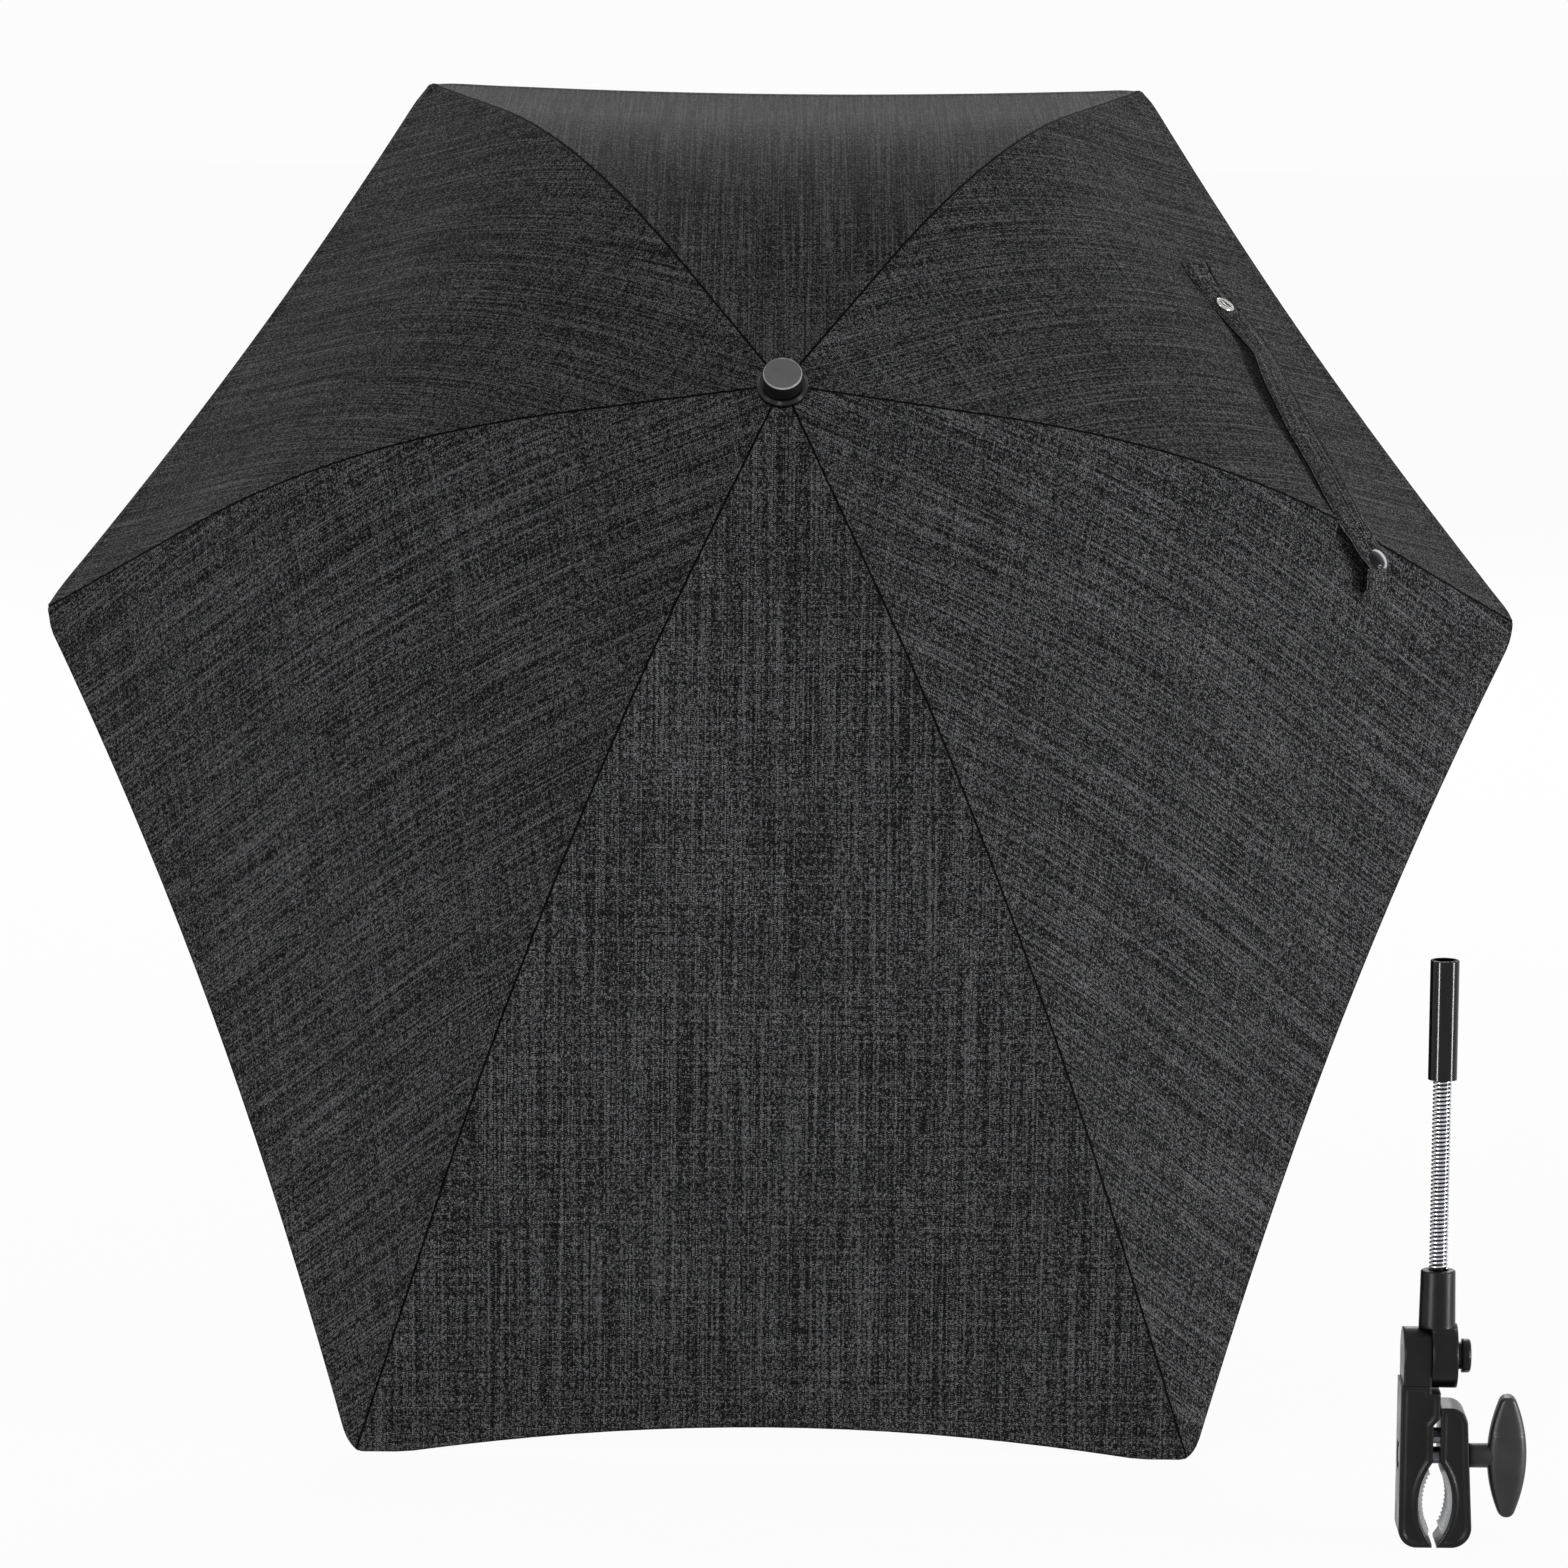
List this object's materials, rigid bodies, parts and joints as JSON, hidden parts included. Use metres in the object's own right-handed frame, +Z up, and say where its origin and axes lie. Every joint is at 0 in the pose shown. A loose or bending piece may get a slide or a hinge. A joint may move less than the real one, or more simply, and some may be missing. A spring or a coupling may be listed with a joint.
{
  "type": "pram parasol",
  "caption": "Folding sun parasol with an asymmetric gored cloth canopy on hinged ribs and stretchers, and a gooseneck clamp holder for a pram tube.",
  "frame": {"origin": "on the floor, under the middle of the box around the open parasol and its holder", "axes": "+Z up along the standing holder's socket, -Y towards the viewer, +X to the viewer's right; the parasol's top leans towards -Y"},
  "size_m": [0.7454, 0.8376, 0.6372],
  "materials": {
    "canopy_cloth": "woven melange",
    "strap_webbing": "woven",
    "shaft_steel": "satin powder coat",
    "rib_glassfibre": "satin",
    "stretcher_steel": "zinc plated",
    "fittings_plastic": "satin",
    "finial_plastic": "gloss",
    "finial_cap_plastic": "satin",
    "snap_metal": "polished",
    "holder_plastic": "satin gloss",
    "pad_rubber": "matt",
    "spring_steel": "bright zinc",
    "holder_steel": "dark zinc"
  },
  "bodies": {
    "shaft": {"shaft_tube": "shaft_steel", "shaft_end_plug": "fittings_plastic", "crown_hub": "fittings_plastic", "crown_pins": "stretcher_steel", "finial_flange": "finial_plastic", "finial_cap": "finial_cap_plastic"},
    "runner": {"runner": "fittings_plastic"},
    "catch": {"runner_catch": "stretcher_steel"},
    "rib_side_right": {"rib_side_right": "rib_glassfibre", "clip_side_right": "fittings_plastic", "canopy_side_right": "canopy_cloth", "strap": "strap_webbing", "snap_cap": "snap_metal", "snap_socket": "snap_metal"},
    "stretcher_side_right": {"stretcher_side_right": "stretcher_steel"},
    "rib_back_right": {"rib_back_right": "rib_glassfibre", "clip_back_right": "fittings_plastic", "canopy_back_right": "canopy_cloth"},
    "stretcher_back_right": {"stretcher_back_right": "stretcher_steel"},
    "rib_back_left": {"rib_back_left": "rib_glassfibre", "clip_back_left": "fittings_plastic", "canopy_back_left": "canopy_cloth"},
    "stretcher_back_left": {"stretcher_back_left": "stretcher_steel"},
    "rib_side_left": {"rib_side_left": "rib_glassfibre", "clip_side_left": "fittings_plastic", "canopy_side_left": "canopy_cloth"},
    "stretcher_side_left": {"stretcher_side_left": "stretcher_steel"},
    "rib_front_left": {"rib_front_left": "rib_glassfibre", "clip_front_left": "fittings_plastic", "canopy_front_left": "canopy_cloth"},
    "stretcher_front_left": {"stretcher_front_left": "stretcher_steel"},
    "rib_front_right": {"rib_front_right": "rib_glassfibre", "clip_front_right": "fittings_plastic", "canopy_front_right": "canopy_cloth"},
    "stretcher_front_right": {"stretcher_front_right": "stretcher_steel"},
    "holder_base": {"fixed_jaw": "holder_plastic", "fixed_jaw_pad": "pad_rubber", "clamp_nut": "holder_steel", "jaw_guide_pins": "holder_steel", "hinge_base": "holder_plastic", "pivot_bolt": "holder_steel"},
    "moving_jaw": {"moving_jaw": "holder_plastic", "moving_jaw_pad": "pad_rubber"},
    "knob": {"wing_knob": "holder_plastic", "clamp_bolt": "holder_steel"},
    "arm": {"arm_sleeve": "holder_plastic", "button_spring": "spring_steel", "gooseneck_spring": "spring_steel", "gooseneck_core": "holder_steel"},
    "button": {"release_button": "holder_plastic"},
    "socket": {"socket_tube": "holder_plastic"}
  },
  "joints": [
    {"name": "runner_slide", "type": "slide", "parent": "shaft", "child": "runner", "axis": [0, 0.7399, -0.6728], "range_m": [0, 0.22573], "deforming": ["canopy_side_right", "canopy_back_right", "canopy_back_left", "canopy_side_left", "canopy_front_left", "canopy_front_right", "strap", "snap_cap", "snap_socket", "runner_catch"]},
    {"name": "catch_press", "type": "slide", "parent": "shaft", "child": "catch", "axis": [0, -0.6728, -0.7399], "range_m": [0, 0.0035], "stiffness_N_per_m": 400},
    {"name": "rib_fold_side_right", "type": "hinge", "parent": "shaft", "child": "rib_side_right", "pos_m": [0.01, -0.14259, 0.51092], "axis": [0, 0.6728, 0.7399], "range_deg": [0, 59]},
    {"name": "stretcher_fold_side_right", "type": "hinge", "parent": "rib_side_right", "child": "stretcher_side_right", "pos_m": [0.16775, -0.10848, 0.4799], "axis": [0, 0.6728, 0.7399], "range_deg": [-118, 0]},
    {"name": "rib_fold_back_right", "type": "hinge", "parent": "shaft", "child": "rib_back_right", "pos_m": [0.00477, -0.13668, 0.51742], "axis": [-0.8788, 0.321, 0.353], "range_deg": [0, 59]},
    {"name": "stretcher_fold_back_right", "type": "hinge", "parent": "rib_back_right", "child": "stretcher_back_right", "pos_m": [0.08005, -0.0093, 0.58898], "axis": [-0.8788, 0.321, 0.353], "range_deg": [-118, 0]},
    {"name": "rib_fold_back_left", "type": "hinge", "parent": "shaft", "child": "rib_back_left", "pos_m": [-0.00477, -0.13668, 0.51742], "axis": [-0.8788, -0.321, -0.353], "range_deg": [0, 59]},
    {"name": "stretcher_fold_back_left", "type": "hinge", "parent": "rib_back_left", "child": "stretcher_back_left", "pos_m": [-0.08005, -0.0093, 0.58898], "axis": [-0.8788, -0.321, -0.353], "range_deg": [-118, 0]},
    {"name": "rib_fold_side_left", "type": "hinge", "parent": "shaft", "child": "rib_side_left", "pos_m": [-0.01, -0.14259, 0.51092], "axis": [0, -0.6728, -0.7399], "range_deg": [0, 59]},
    {"name": "stretcher_fold_side_left", "type": "hinge", "parent": "rib_side_left", "child": "stretcher_side_left", "pos_m": [-0.16775, -0.10848, 0.4799], "axis": [0, -0.6728, -0.7399], "range_deg": [-118, 0]},
    {"name": "rib_fold_front_left", "type": "hinge", "parent": "shaft", "child": "rib_front_left", "pos_m": [-0.00415, -0.14872, 0.50419], "axis": [0.91, -0.279, -0.3068], "range_deg": [0, 59]},
    {"name": "stretcher_fold_front_left", "type": "hinge", "parent": "rib_front_left", "child": "stretcher_front_left", "pos_m": [-0.06957, -0.21118, 0.36696], "axis": [0.91, -0.279, -0.3068], "range_deg": [-118, 0]},
    {"name": "rib_fold_front_right", "type": "hinge", "parent": "shaft", "child": "rib_front_right", "pos_m": [0.00415, -0.14872, 0.50419], "axis": [0.91, 0.279, 0.3068], "range_deg": [0, 59]},
    {"name": "stretcher_fold_front_right", "type": "hinge", "parent": "rib_front_right", "child": "stretcher_front_right", "pos_m": [0.06957, -0.21118, 0.36696], "axis": [0.91, 0.279, 0.3068], "range_deg": [-118, 0]},
    {"name": "holder_lift", "type": "slide", "parent": "shaft", "child": "holder_base", "axis": [0, 0, 1], "range_m": [0, 0.2]},
    {"name": "jaw_slide", "type": "slide", "parent": "holder_base", "child": "moving_jaw", "axis": [1, 0, 0], "range_m": [0, 0.01]},
    {"name": "knob_turn", "type": "hinge", "parent": "moving_jaw", "child": "knob", "pos_m": [0.3251, -0.40378, 0.0416], "axis": [1, 0, 0], "range_deg": [0, 900]},
    {"name": "holder_tilt", "type": "hinge", "parent": "holder_base", "child": "arm", "pos_m": [0.309, -0.40378, 0.089], "axis": [1, 0, 0], "range_deg": [-90, 90]},
    {"name": "button_press", "type": "slide", "parent": "arm", "child": "button", "axis": [-1, 0, 0], "range_m": [0, 0.002], "stiffness_N_per_m": 500, "deforming": ["button_spring"]},
    {"name": "gooseneck_bend", "type": "hinge", "parent": "arm", "child": "socket", "pos_m": [0.309, -0.40378, 0.1745], "axis": [0, 1, 0], "range_deg": [-75, 75], "deforming": ["gooseneck_spring", "gooseneck_core"]}
  ],
  "couplings": [
    {"joint": "rib_fold_side_right", "follows": "runner_slide", "rad_per_m": 4.5619},
    {"joint": "stretcher_fold_side_right", "follows": "runner_slide", "rad_per_m": -9.1238},
    {"joint": "rib_fold_back_right", "follows": "runner_slide", "rad_per_m": 4.5619},
    {"joint": "stretcher_fold_back_right", "follows": "runner_slide", "rad_per_m": -9.1238},
    {"joint": "rib_fold_back_left", "follows": "runner_slide", "rad_per_m": 4.5619},
    {"joint": "stretcher_fold_back_left", "follows": "runner_slide", "rad_per_m": -9.1238},
    {"joint": "rib_fold_side_left", "follows": "runner_slide", "rad_per_m": 4.5619},
    {"joint": "stretcher_fold_side_left", "follows": "runner_slide", "rad_per_m": -9.1238},
    {"joint": "rib_fold_front_left", "follows": "runner_slide", "rad_per_m": 4.5619},
    {"joint": "stretcher_fold_front_left", "follows": "runner_slide", "rad_per_m": -9.1238},
    {"joint": "rib_fold_front_right", "follows": "runner_slide", "rad_per_m": 4.5619},
    {"joint": "stretcher_fold_front_right", "follows": "runner_slide", "rad_per_m": -9.1238},
    {"joint": "knob_turn", "follows": "jaw_slide", "rad_per_m": 1570.8}
  ]
}
